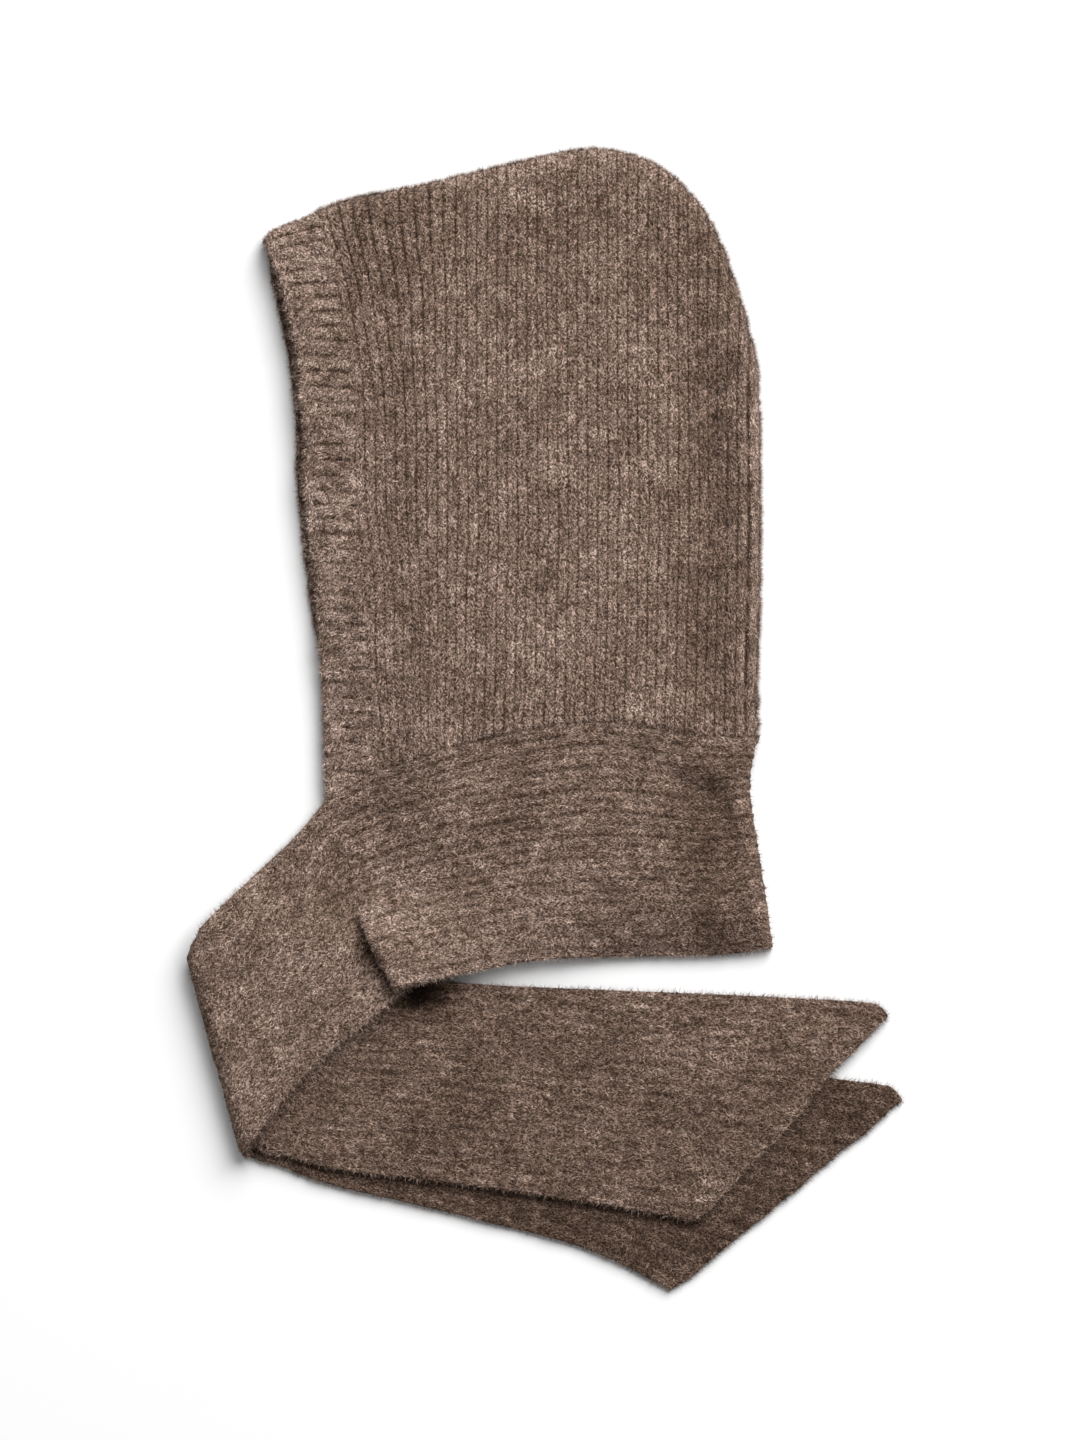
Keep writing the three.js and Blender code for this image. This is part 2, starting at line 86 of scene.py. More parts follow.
# forward, down
neck_rows = np.array([
    (0.000, 0.001), (0.133, 0.002), (0.226, -0.012), (0.320, -0.022), (0.413, -0.022),
    (0.494, -0.014), (0.587, -0.002), (0.706, 0.019), (0.807, 0.043), (0.902, 0.068),
    (1.000, 0.110),
])
hem_rows = np.array([
    (-0.031, 0.962), (0.038, 0.985), (0.099, 0.994), (0.274, 1.003), (0.387, 1.016),
    (0.483, 1.058), (0.552, 1.096), (0.622, 1.130),
])
# down, forward, depth
crease_rows = np.array([(0.07, 0.204, 0.4), (0.25, 0.099, 1.0), (0.52, 0.038, 0.9), (0.93, 0.021, 0.3)])
# edge back, edge down, hem back, hem down
upper_tail_rows = np.array([
    (0.012, 1.010, 0.105, 1.852), (0.206, 1.066, 0.200, 1.951), (0.417, 1.129, 0.340, 2.009),
    (0.600, 1.155, 0.470, 2.062), (0.800, 1.181, 0.600, 2.126), (0.983, 1.215, 0.722, 2.198),
])
lower_tail_rows = np.array([
    (0.000, 0.971, 0.090, 1.883), (0.230, 1.140, 0.190, 2.015), (0.430, 1.265, 0.300, 2.100),
    (0.620, 1.380, 0.420, 2.195), (0.820, 1.510, 0.560, 2.315), (0.999, 1.595, 0.690, 2.508),
])


def ease(start, end, value):
    share = np.clip((value - start) / (end - start), 0, 1)
    return share * share * (3 - 2 * share)


def mix(a, b, share):
    return a + (b - a) * share


# 1 where the value is at the middle, fading to 0 on both sides of it over about two widths.
def near(value, middle, width):
    return np.exp(-(((value - middle) / width) ** 2))


# A smooth curve through the rows, which runs straight on past its ends.
def curve(places, values, at):
    at = np.asarray(at, float)
    last = len(places) - 1
    rows = np.arange(last + 1)
    high, low = np.minimum(rows + 1, last), np.maximum(rows - 1, 0)
    slope = (values[high] - values[low]) / (places[high] - places[low])
    i = np.clip(np.searchsorted(places, at) - 1, 0, last - 1)
    span = places[i + 1] - places[i]
    t = (at - places[i]) / span
    c = np.clip(t, 0, 1)
    rise = values[i + 1] - values[i]
    start, end = slope[i] * span, slope[i + 1] * span
    bend = start * c + (3 * rise - 2 * start - end) * c**2 + (start + end - 2 * rise) * c**3
    return values[i] + bend + (t - c) * np.where(t < 0, start, end)


def by_row(values, share):
    return curve(np.arange(len(values), dtype=float), values, np.asarray(share) * (len(values) - 1))


def crown_at(share):
    x = -by_row(crown_rows[:, 0], share) * hood_depth
    return np.stack([x, by_row(crown_rows[:, 1], share) * hood_height], -1)


crown_shares = np.linspace(0, 1, 161)
crown_run = crown_at(crown_shares + 0.003) - crown_at(crown_shares - 0.003)
crown_run /= np.linalg.norm(crown_run, axis=-1, keepdims=True)
crown_line = crown_at(crown_shares) + crown_run[:, ::-1] * (-knit / 2, knit / 2)
crown_rise = crown_line[: crown_line[:, 1].argmax() + 1]


def crown_y(x):
    return np.interp(x, crown_line[::-1, 0], crown_line[::-1, 1])


def back_x(y):
    return -curve(back_rows[:, 0], back_rows[:, 1], y / hood_height) * hood_depth - knit / 2


def outline_x(y):
    turned = np.interp(y, crown_rise[:, 1], crown_rise[:, 0])
    return np.where(y <= crown_line[0, 1], back_x(y), turned)


def neck_y(x):
    return -curve(neck_rows[:, 0], neck_rows[:, 1], -x / hood_depth) * hood_height


def face_x(y, under=False):
    up = y / hood_height
    peek = face_peek * ease(0.12, 0.24, up) * (1 - ease(0.76, 0.84, up)) if under else 0
    return -curve(face_rows[:, 0], face_rows[:, 1], up) * hood_depth - peek


def band_seam_x(y):
    return face_x(y) + band_width * curve(face_rows[:, 0], face_rows[:, 2], y / hood_height)


def hem_y(x):
    return -curve(hem_rows[:, 0], hem_rows[:, 1], -x / fold_reach) * scarf_width


pleat_top = np.array([-0.982 * hood_depth, neck_y(-0.982 * hood_depth)])
pleat_hem = np.array([-0.622 * fold_reach, hem_y(-0.622 * fold_reach)])
pleat_run = (pleat_hem - pleat_top) / np.linalg.norm(pleat_hem - pleat_top)
pleat_ahead = np.array([pleat_run[1], -pleat_run[0]])


def past_pleat(x, y):
    return (x - pleat_top[0]) * pleat_ahead[0] + (y - pleat_top[1]) * pleat_ahead[1]


# How far the cloth has climbed onto a scarf end beneath it, from 0 beside it to 1 on it.
def over_tail(rows, x, y):
    edge = -curve(rows[:, 0], rows[:, 1], (x + fold_reach) / tail_reach) * scarf_width
    return ease(-climb, 0, edge - y + climb_lead)


def under_layer_z(x, y):
    at_fold = 1 - ease(-0.40 * fold_reach, -0.20 * fold_reach, x)
    tails = over_tail(lower_tail_rows, x, y) + over_tail(upper_tail_rows, x, y)
    return floor_layer + at_fold * layer_pitch * tails


def rim_rise(distance, radius):
    share = 1 - np.clip(distance, 0, radius) / radius
    return radius * np.sqrt(1 - share * share)


def rim_distance(x, y):
    side = np.maximum(outline_x(y) - x, 0)
    top = np.maximum(crown_y(x) - y, 0)
    return side * top / np.maximum(np.hypot(side, top), 1e-9)


def upper_z(x, y, distance):
    up = y / hood_height
    above_hem = np.maximum(y - hem_y(x), 0)
    rise = 1 - near(distance, 0, puff_reach)
    at_face = 1 - 0.85 * near(np.maximum(x - face_x(y), 0), 0, 1.2 * puff_reach)
    at_hem = 1 - near(above_hem, 0, 1.6 * puff_reach)
    window = ease(0.0, 0.12, up) * (1 - ease(0.55, 0.75, up))
    furrow = window * near(distance, 2 * furrow_width, furrow_width)
    down = -y / scarf_width
    inside = ease(-0.03, 0.07, down) * (1 - ease(0.93, 1.03, down))
    at = np.clip(down, 0.07, 0.93)
    middle = -curve(crease_rows[:, 0], crease_rows[:, 1], at) * fold_reach
    crease = curve(crease_rows[:, 0], crease_rows[:, 2], at) * inside
    crease = crease * near(x, middle, furrow_width)
    dents = ease(0, 2 * rim_radius, distance) * furrow_depth * (furrow + crease)
    settled = 1 - 0.8 * near(above_hem, 0, hem_settle)
    air = rim_curl + settled * (rim_rise(distance, rim_radius) + puff * rise * at_face * at_hem - dents)
    air = air - hem_dip * near(above_hem, 0, hem_dip_reach) * ease(0, 2 * hem_dip_reach, distance)
    closed = ease(-0.25 * hood_depth, 0, past_pleat(x, y))
    return under_layer_z(x, y) + mix(air, layer_pitch + loose_gap, closed)


# Distances from a rolled rim, close together on its roll and then even.
def rim_steps(radius, reach, turns, plain):
    roll = radius * (1 - np.cos(np.linspace(0, math.pi / 2, turns + 1)))
    return np.concatenate([roll, np.linspace(radius, reach, plain + 1)[1:]])


# Columns of points from the crown down to the neck seam, where across(y) is their place.
def columns(across, radius, height, turns, plain):
    top = across(hood_height / 2) * 0 + hood_height / 2
    for _ in range(12):
        top = crown_y(across(top))
    bottom = top * 0
    for _ in range(5):
        bottom = neck_y(across(bottom)) + seam_gap / 2
    slope = (crown_y(across(top) + 1) - crown_y(across(top) - 1)) / 2
    stretch = np.minimum(np.hypot(1, slope), rim_stretch)
    drop = np.stack([rim_steps(radius * s, t - b, turns, plain) for s, t, b in zip(stretch, top, bottom)])
    y = top[:, None] - drop
    x = np.stack([across(y[:, k]) for k in range(y.shape[1])], 1)
    distance = rim_distance(x, y)
    distance[:, 0] = 0
    return np.stack([x, y, height(x, y, distance)], -1)


# Smooth unevenness, about 1 at its largest, whose waves are about length millimetres long.
def uneven(u, v, length, seed):
    chance = np.random.default_rng(seed)
    total = 0
    for _ in range(6):
        angle = chance.uniform(0, 2 * math.pi)
        size = length * chance.uniform(0.6, 1.6)
        along = (u * math.cos(angle) + v * math.sin(angle)) / size
        total = total + np.sin(2 * math.pi * along + chance.uniform(0, 6.28))
    return total / 3.2


# Unit normals of a grid of points, level along the rims that are named upright.
def facing(points, upright=()):
    along = np.gradient(points, axis=0)
    across = np.gradient(points, axis=1)
    normal = np.cross(across, along)
    for rim in upright:
        normal[rim + (2,)] = 0
    return normal / np.maximum(np.linalg.norm(normal, axis=-1, keepdims=True), 1e-9)


# A knitted wall about a grid of points. Its UV map is in metres of cloth, rib says how high
# the rib stands, from 0 in a groove to 1, and tone how much lighter the cloth is painted there,
# by its own tone and by painted light and shade.
def knitted(name, points, along, across, rib, tone, material):
    bm = bmesh.new()
    wide, high = points.shape[1] - 1, points.shape[0] - 1
    bmesh.ops.create_grid(bm, x_segments=wide, y_segments=high, size=0.5, calc_uvs=False)
    mesh = bpy.data.meshes.new(name)
    bm.to_mesh(mesh)
    bm.free()
    spots = (points - outline_middle) / 1000
    mesh.vertices.foreach_set("co", spots.reshape(-1).astype(np.float32))
    mesh.polygons.foreach_set("use_smooth", np.ones(len(mesh.polygons), bool))
    corner = np.empty(len(mesh.loops), int)
    mesh.loops.foreach_get("vertex_index", corner)
    shape = points.shape[:2]
    cloth = np.stack([np.broadcast_to(across, shape), np.broadcast_to(along, shape)], -1)
    cloth = cloth.reshape(-1, 2)[corner] / 1000
    mesh.uv_layers.new(name="cloth").data.foreach_set("uv", cloth.reshape(-1).astype(np.float32))
    for attribute, values in (("rib", rib), ("tone", tone)):
        held = mesh.attributes.new(attribute, "FLOAT", "POINT")
        values = np.broadcast_to(values, shape).reshape(-1)
        held.data.foreach_set("value", values.astype(np.float32))
    mesh.materials.append(material)
    mesh.update()
    obj = bpy.data.objects.new(name, mesh)
    bpy.context.collection.objects.link(obj)
    solid = obj.modifiers.new("wall", "SOLIDIFY")
    solid.thickness = wall / 1000
    solid.offset = 0
    return obj


# Brushed heather wool: light and dark fibres that lean like stitch legs, mottled yarn, and
# painted shade in the broken grooves between the ribs. Tone, which also carries painted light
# and shade, dims or raises a whole stretch of the cloth: about 0.3 less of it halves the light
# that comes back.
def wool(name, dark, light, leg_angle, grain, groove_shade):
    made = bpy.data.materials.new(name)
    made.use_nodes = True
    nodes, links = made.node_tree.nodes, made.node_tree.links
    shader = nodes["Principled BSDF"]
    shader.inputs["Roughness"].default_value = 0.95
    shader.inputs["Specular IOR Level"].default_value = 0.1
    shader.inputs["Sheen Weight"].default_value = 0.12
    shader.inputs["Sheen Roughness"].default_value = 0.6
    shader.inputs["Sheen Tint"].default_value = (0.7, 0.58, 0.5, 1)
    noise, maths, read = wool_nodes(made)
    left = noise("UV", (0.0007, 0.0032, 1), leg_angle, 2)
    right = noise("UV", (0.0007, 0.0032, 1), -leg_angle, 2)
    hairs = maths("MAXIMUM", left, right)
    specks = noise("Object", (0.0011, 0.0011, 0.0011), 0, 2)
    shade = maths("MULTIPLY_ADD", hairs, 2.0 * grain, -1.13 * grain)
    shade = maths("MULTIPLY_ADD", specks, 1.8 * grain, maths("ADD", shade, -0.9 * grain))
    depth = maths("MULTIPLY_ADD", mottled(noise, maths), 0.4 + 0.4 * grain, read("tone"))
    # Painted shade in the grooves: the cloth is darker where the rib is low.
    dip = maths("SUBTRACT", 1, read("rib"))
    depth = maths("MULTIPLY_ADD", dip, -groove_shade, depth)
    shaded(made, shader, maths, dark, light, maths("ADD", shade, 0.35), depth)
    bump = nodes.new("ShaderNodeBump")
    bump.inputs["Strength"].default_value = 0.8
    bump.inputs["Distance"].default_value = 0.0015
    links.new(maths("ADD", specks, hairs), bump.inputs["Height"])
    links.new(bump.outputs["Normal"], shader.inputs["Normal"])
    return made


# A colour between dark and light wool, dimmed or raised as a whole by depth.
def shaded(made, shader, maths, dark, light, shade, depth):
    nodes, links = made.node_tree.nodes, made.node_tree.links
    colour = nodes.new("ShaderNodeMix")
    colour.data_type = "RGBA"
    colour.clamp_factor = True
    colour.inputs[6].default_value = (*dark, 1)
    colour.inputs[7].default_value = (*light, 1)
    links.new(shade, colour.inputs[0])
    share = nodes.new("ShaderNodeCombineXYZ")
    for channel, power in enumerate((2.15, 2.4, 2.65)):
        links.new(maths("EXPONENT", maths("MULTIPLY", depth, power)), share.inputs[channel])
    dimmed = nodes.new("ShaderNodeVectorMath")
    dimmed.operation = "MULTIPLY"
    links.new(colour.outputs[2], dimmed.inputs[0])
    links.new(share.outputs[0], dimmed.inputs[1])
    links.new(dimmed.outputs[0], shader.inputs["Base Color"])


# Noise of a given size in metres, a sum or product, and an attribute of the mesh.
def wool_nodes(made):
    nodes, links = made.node_tree.nodes, made.node_tree.links
    coords = nodes.new("ShaderNodeTexCoord")

    def noise(source, size, turn, detail):
        placed = nodes.new("ShaderNodeMapping")
        placed.vector_type = "TEXTURE"
        placed.inputs["Rotation"].default_value = (0, 0, turn)
        placed.inputs["Scale"].default_value = size
        links.new(coords.outputs[source], placed.inputs["Vector"])
        cloud = nodes.new("ShaderNodeTexNoise")
        cloud.inputs["Scale"].default_value = 1
        cloud.inputs["Detail"].default_value = detail
        links.new(placed.outputs["Vector"], cloud.inputs["Vector"])
        return cloud.outputs["Fac"]

    def maths(operation, *values):
        step = nodes.new("ShaderNodeMath")
        step.operation = operation
        for socket, value in zip(step.inputs, values):
            if isinstance(value, (int, float)):
                socket.default_value = value
            else:
                links.new(value, socket)
        return step.outputs[0]

    def read(name):
        held = nodes.new("ShaderNodeAttribute")
        held.attribute_name = name
        return held.outputs["Fac"]

    return noise, maths, read


# Uneven dye and yarn, about nought on average: flecks, stitches and wide soft patches.
def mottled(noise, maths):
    flecks = maths("MULTIPLY_ADD", noise("Object", (0.004, 0.004, 0.004), 0, 2), 0.5, -0.25)
    clouds = maths("MULTIPLY_ADD", noise("Object", (0.011, 0.011, 0.011), 0, 2), 0.5, -0.25)
    patches = maths("MULTIPLY_ADD", noise("Object", (0.03, 0.03, 0.03), 0, 2), 0.4, -0.2)
    return maths("ADD", maths("ADD", flecks, clouds), patches)


# The brushed nap: short stiff hairs, each one triangle. A hair has its root, the direction
# off the cloth there, the way the rib runs, its tone, how steeply it rises and how much
# longer, and so finer, it is than the rest.
def nap(name, groups, length, width, seed, material):
    chance = np.random.default_rng(seed)
    roots, off, lay, tone, rise, longer = (np.concatenate(part) for part in zip(*groups))
    count = len(roots)
    lay = lay - off * (lay * off).sum(1, keepdims=True)
    lay /= np.maximum(np.linalg.norm(lay, axis=1, keepdims=True), 1e-9)
    swing = chance.normal(0, 0.65, (count, 1)) + math.pi * chance.integers(0, 2, (count, 1))
    heading = lay * np.cos(swing) + np.cross(off, lay) * np.sin(swing)
    rise = rise[:, None]
    heading = heading * np.cos(rise) + off * np.sin(rise)
    side = np.cross(heading, off)
    side /= np.maximum(np.linalg.norm(side, axis=1, keepdims=True), 1e-9)
    roll = chance.normal(0, 0.5, (count, 1))
    side = side * np.cos(roll) + np.cross(side, heading) * np.sin(roll)
    reach = heading * chance.uniform(*length, (count, 1)) * longer[:, None]
    half = side * chance.uniform(0.6, 1.3, (count, 1)) * width / 2 / longer[:, None] ** 3
    spots = np.stack([roots - half, roots + half, roots + reach], 1)
    spots[..., 2] = np.maximum(spots[..., 2], 0.1)
    mesh = bpy.data.meshes.new(name)
    mesh.vertices.add(count * 3)
    mesh.vertices.foreach_set("co", ((spots - outline_middle) / 1000).reshape(-1).astype(np.float32))
    mesh.loops.add(count * 3)
    mesh.loops.foreach_set("vertex_index", np.arange(count * 3, dtype=np.int32))
    mesh.polygons.add(count)
    mesh.polygons.foreach_set("loop_start", np.arange(0, count * 3, 3, dtype=np.int32))
    mesh.update(calc_edges=True)
    for attribute, values in (("hair", chance.beta(0.7, 1.1, count)), ("tone", tone)):
        held = mesh.attributes.new(attribute, "FLOAT", "POINT")
        held.data.foreach_set("value", np.repeat(values, 3).astype(np.float32))
    mesh.materials.append(material)
    obj = bpy.data.objects.new(name, mesh)
    bpy.context.collection.objects.link(obj)
    return obj


# Roots of hairs spread by area over a grid of points, on the face that side says, fewer
# where weight is low. Lay is the direction of the ribs there.
def spread(points, normals, count, seed, rib_axis, side, weight, tone):
    chance = np.random.default_rng(seed)
    a, b = points[1:, :-1] - points[:-1, :-1], points[:-1, 1:] - points[:-1, :-1]
    area = np.linalg.norm(np.cross(a, b), axis=-1) * weight[:-1, :-1]
    cell = chance.choice(area.size, count, p=(area / area.sum()).reshape(-1))
    i, j = np.unravel_index(cell, area.shape)
    u, v = chance.random((count, 1)), chance.random((count, 1))
    spot = points[i, j] + a[i, j] * u + b[i, j] * v
    face = np.broadcast_to(side, points.shape[:2])[i, j][:, None]
    off = normals[i, j] * face
    lay = (a, b)[rib_axis][i, j]
    tone = np.broadcast_to(tone, points.shape[:2])[i, j]
    return spot + off * (wall / 2 - 0.1), off, lay, tone, chance.uniform(0.12, 0.85, count), np.ones(count)


# Roots of hairs along an edge of the cloth, that stand out from it.
def edging(line, out, count, seed, tone, outside=0.0):
    chance = np.random.default_rng(seed)
    run = np.diff(line, axis=0)
    length = np.linalg.norm(run, axis=1)
    i = chance.choice(len(run), count, p=length / length.sum())
    out = out / np.maximum(np.linalg.norm(out, axis=-1, keepdims=True), 1e-9)
    out = np.broadcast_to(out, line.shape)[i]
    spot = line[i] + run[i] * chance.random((count, 1)) + out * (outside - 0.2)
    spot[:, 2] += chance.uniform(-0.8, 1.0, count) * wall / 2
    # Edge hairs are a little lighter: a painted highlight on the fringe.
    tone = np.broadcast_to(tone, len(line))[i] + 0.08
    return spot, out, run[i], tone, chance.uniform(0.3, 1.4, count), np.full(count, 1.2)


# Each hair has one colour of its own between dark and light, dimmed like the cloth below it.
def hair_tones(name, dark, light):
    made = bpy.data.materials.new(name)
    made.use_nodes = True
    shader = made.node_tree.nodes["Principled BSDF"]
    shader.inputs["Roughness"].default_value = 0.8
    shader.inputs["Specular IOR Level"].default_value = 0.1
    noise, maths, read = wool_nodes(made)
    depth = maths("ADD", read("tone"), mottled(noise, maths))
    shaded(made, shader, maths, dark, light, read("hair"), depth)
    return made


# How much of a rib stands, from 0 at the middle of a narrow groove to 1: the grooves lie one
# rib apart, deeper here and shallower there, with a faint one halfway between.
def ribbed(place, along, rib, broken, width, seed):
    away = np.abs((place / rib + 0.5) % 1 - 0.5) * rib
    half = rib / 2 - away
    depth = np.clip(1 - broken + broken * (0.5 + 1.6 * uneven(place * 1.7, along, 17, seed)), 0, 1.2)
    faint = np.clip(0.9 * uneven(place * 1.7, along, 12, seed + 7), 0, 0.6)
    width = width * rib
    return 1 - depth * near(away, 0, width) - 0.6 * faint * near(half, 0, width)


hood_rib = 5.6
groove_depth = 0.85
panel_width = 224
seam_knob = 1.6
hair_width = 0.5
hair_length = (1.4, 3.4)
dark_wool = (0.062, 0.035, 0.024)
light_wool = (0.52, 0.373, 0.302)
dark_hair = (0.05, 0.029, 0.019)
light_hair = (0.56, 0.405, 0.325)
hood_wool = wool("brushed hood wool", dark_wool, light_wool, leg_angle=0.5, grain=1.6, groove_shade=0.95)
hair_wool = hair_tones("wool hairs", dark_hair, light_hair)


# The ribs stand upright, and next to the face band they lean over to follow it.
def hood_side(height, radius, face, cell, plain, seed):
    wales = rim_steps(radius, panel_width, 8, round((panel_width - radius) / cell))

    def across(y):
        spare = back_x(y) - (band_seam_x(y) + seam_gap / 2) - panel_width
        return back_x(y) - wales - spare * ease(panel_width - 60, panel_width, wales)

    points = columns(across, radius, height, 7, plain)
    normals = face * facing(points, [(0,), (slice(None), 0)])
    steps = np.linalg.norm(np.diff(points, axis=1), axis=-1)
    along = np.concatenate([np.zeros((len(wales), 1)), np.cumsum(steps, axis=1)], 1)
    place = wales[:, None] + 0.35 * uneven(wales[:, None], along, 60, seed)
    stand = ribbed(place, along, hood_rib, 0.35, 0.135, seed + 1)
    lumps = 0.25 * uneven(wales[:, None], along, 9, seed + 2)
    lumps = lumps + 0.3 * uneven(wales[:, None], along, 45, seed + 3)
    points = points + normals * (groove_depth * (stand - 0.75) + lumps)[..., None]
    points[..., 0] += seam_knob * near(wales[:, None], 0, 9) * near(points[..., 1], 6, 3)
    points[..., 2] = np.maximum(points[..., 2], wall / 2 + 0.05)
    return points, normals, along, wales[:, None], stand


points, normals, along, wales, stand = hood_side(upper_z, rim_radius, face=-1, cell=0.58, plain=108, seed=11)

# Painted light and shade: the cloth is painted darker in the furrow, towards the top and beside
# the face band, as shade, and lighter on the rims, as a highlight where the nap catches the light.
up = points[..., 1] / hood_height
from_crown = crown_y(points[..., 0]) - points[..., 1]
tone = 0.045 - 0.17 * near(wales, 25, 20) * (1 - ease(0.7, 0.95, up)) - 0.07 * ease(0.6, 0.9, up)
tone = tone - 0.05 * near(wales, panel_width - 24, 15)
tone = tone + 0.06 * near(wales, 0, 9) + 0.06 * near(wales, 0, 3.5)
tone = tone + 0.08 * near(from_crown, 0, 3)
hood_upper = knitted("hood_upper_rib", points, along, wales, stand, tone, hood_wool)
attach(hood_upper, "root")
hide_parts("hood_upper_side")
# Hairs in the grooves get painted shade: the lower the rib, the darker the hair.
hairs = [
    spread(
        points, normals, 78000, 21, rib_axis=1, side=1,
        weight=0.06 + 0.94 * stand**2, tone=tone - 0.8 * (1 - stand),
    ),
    edging(points[:, 0], normals[:, 0], 8500, 24, tone[:, 0], wall / 2),
    edging(points[0], normals[0], 6500, 25, tone[0], wall / 2),
]
hood_upper_nap = nap("hood_upper_nap", hairs, hair_length, hair_width, 23, hair_wool)
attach(hood_upper_nap, "root")

# Lower side of the hood
# The same panel again in the same ribbed wool, turned face down. It lies on the floor,
# carries the upper side and is linked to it round the crown and back.


def lower_z(x, y, distance):
    return under_layer_z(x, y) + rim_curl - rim_rise(distance, rim_curl)


points, normals, along, wales, stand = hood_side(lower_z, rim_curl, face=1, cell=1.2, plain=52, seed=31)
hood_lower = knitted("hood_lower_rib", points, along, wales, stand, 0, hood_wool)
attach(hood_lower, "root")
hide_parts("hood_lower_side")

# Face band
# A strip of coarser rib whose ribs run across it. It is linked to both sides of the hood,
# goes up the upper face edge, round the crown and down the lower one.
band_rib = 8.3
band_groove = 1.2
band_wool = wool("face band wool", dark_wool, light_wool, leg_angle=1.07, grain=1.75, groove_shade=0.75)
band_lines = 440
across_band = np.linspace(0, 1, 15)


def band_side(height, radius, under, turns):
    made = []
    for share in across_band:
        def across(y, share=share):
            return np.atleast_1d(mix(band_seam_x(y) - seam_gap / 2, face_x(y, under), share))

        made.append(columns(across, radius, height, turns, band_lines)[0])
    return np.array(made)


upper, lower = band_side(upper_z, rim_radius, False, 10), band_side(lower_z, rim_curl, True, 6)
points = np.concatenate([upper[:, ::-1], lower[:, 1:]], 1)
steps = np.linalg.norm(np.diff(points, axis=1), axis=-1).mean(0)
along = np.concatenate([[0], np.cumsum(steps)])[None, :]
normals = facing(points)
place = across_band[:, None] * band_width
top = crown_y(points[..., 0])
middle_top = top.mean()
level = middle_top - points[..., 1] + (top - middle_top) * np.exp(-(top - points[..., 1]) / 30)
level = level - 0.06 * (points[..., 0] - band_seam_x(points[..., 1]))
stand = ribbed(level + 0.6 * uneven(along, place, 40, 41), place, band_rib, 0.5, 0.16, 42)
stand = 1 - (1 - stand) * mix(0.65, 1.0, ease(0.15, 0.5, points[..., 1] / hood_height))
lumps = 0.3 * uneven(along, place, 12, 45)
points = points + normals * (band_groove * (stand - 0.75) + lumps)[..., None]
wavy = 0.5 * (stand - 0.6) + 0.5 * uneven(along, 0 * place, 22, 46)
points[..., 0] -= wavy * ease(0.7, 1, across_band)[:, None]
points[..., 2] = np.maximum(points[..., 2], wall / 2 + 0.05)
face_band = knitted("face_band_rib", points, place, along, stand, 0.1, band_wool)
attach(face_band, "root")
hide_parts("face_band")

# The lower half of the band has few hairs, because it is out of sight.
weight = 0.45 + 0.55 * stand
weight[:, band_lines + 60:] *= 0.3
forward = np.array([-1.0, 0.0, 0.0])
# Hairs in the grooves get painted shade, darker where the rib is low.
hairs = [
    spread(
        points, normals, 24000, 47, rib_axis=0, side=1,
        weight=weight, tone=0.1 - 0.35 * (1 - stand),
    ),
    edging(points[-1, :band_lines], forward, 2200, 49, 0),
    edging(points[-1, band_lines:], forward, 1500, 50, 0),
]
face_band_nap = nap("face_band_nap", hairs, hair_length, hair_width, 48, hair_wool)
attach(face_band_nap, "root")

# Scarf
# One long strip whose ribs run lengthwise: from the tip of the lower end to its fold, up
# the panel to the pleat, along the neck seam, round the centre back and the same again
# beneath, to the tip of the upper end.
pleat_overlap = 13
roll_radius = 0.75 * knit
seam_slack = 0.025 * hood_depth
scarf_rib = 5.9
scarf_groove = 0.9
scarf_hair_length = (1.5, 3.8)
scarf_cells = 168
scarf_shares = np.linspace(0, 1, scarf_cells + 1)
# down, back, pleat
bow_rows = np.array([
    (0.00, 0.000, 0.000), (0.25, 0.017, 0.010), (0.50, 0.013, 0.018), (0.75, 0.006, 0.014),
    (1.00, 0.000, 0.000),
])
# edge forward, edge down, hem forward, hem down
panel_rows = np.array([
    (0.756, 0.316, 0.631, 1.197), (0.807, 0.470, 0.709, 1.360), (0.883, 0.655, 0.779, 1.513),
    (0.955, 0.836, 0.836, 1.685), (1.000, 0.971, 0.900, 1.908),
])
back_top = np.array([back_x(0.0), 0.0])
back_hem = np.array([0.031 * fold_reach - knit / 2, hem_y(0.031 * fold_reach)])


def bow(share, column):
    return -curve(bow_rows[:, 0], bow_rows[:, column], share) * fold_reach


def panel_line(share, across, tuck=0.0):
    row = [by_row(panel_rows[:, k], share) for k in range(4)]
    edge = np.array([-row[0] * fold_reach, -row[1] * scarf_width])
    hem = np.array([-row[2] * fold_reach, -row[3] * scarf_width])
    inset = tuck / scarf_width
    line = mix(edge, hem, mix(inset, 1 - inset, across)[:, None])
    line[:, 0] += bow(across, 2) * (1 - ease(0, 0.4, share))
    return line


# A line across one end of the scarf, at a share of the way to its tip. Its slanted edge is
# worn to a soft curve, and the corner at its tip drops a little.
def tail_line(rows, share, across):
    row = [by_row(rows[:, k], share) for k in range(4)]
    edge = np.array([row[0] * tail_reach - fold_reach, -row[1] * scarf_width])
    hem = np.array([row[2] * tail_reach - fold_reach, -row[3] * scarf_width])
    line = mix(edge, hem, across[:, None])
    from_edge = across * scarf_width
    worn = 2 * near(from_edge, scarf_width, 4) - 6 * near(from_edge, 16, 16)
    worn = worn - 6 * near(from_edge, 64, 38) + 0.6 * uneven(from_edge, 0 * across, 14, 64)
    if rows is lower_tail_rows:
        worn = worn - 5 * near(from_edge, 30, 26)
    line[:, 0] -= worn * ease(0.88, 1, share)
    line[:, 1] -= 7 * np.clip(1 - (1 - share) / 0.025, 0, 1) ** 2 * near(from_edge, 0, 8)
    return line


def upper_tail_z(x, y):
    return floor_layer + layer_pitch * over_tail(lower_tail_rows, x, y)


def top_panel_z(x, y):
    return under_layer_z(x, y) + layer_pitch + loose_gap


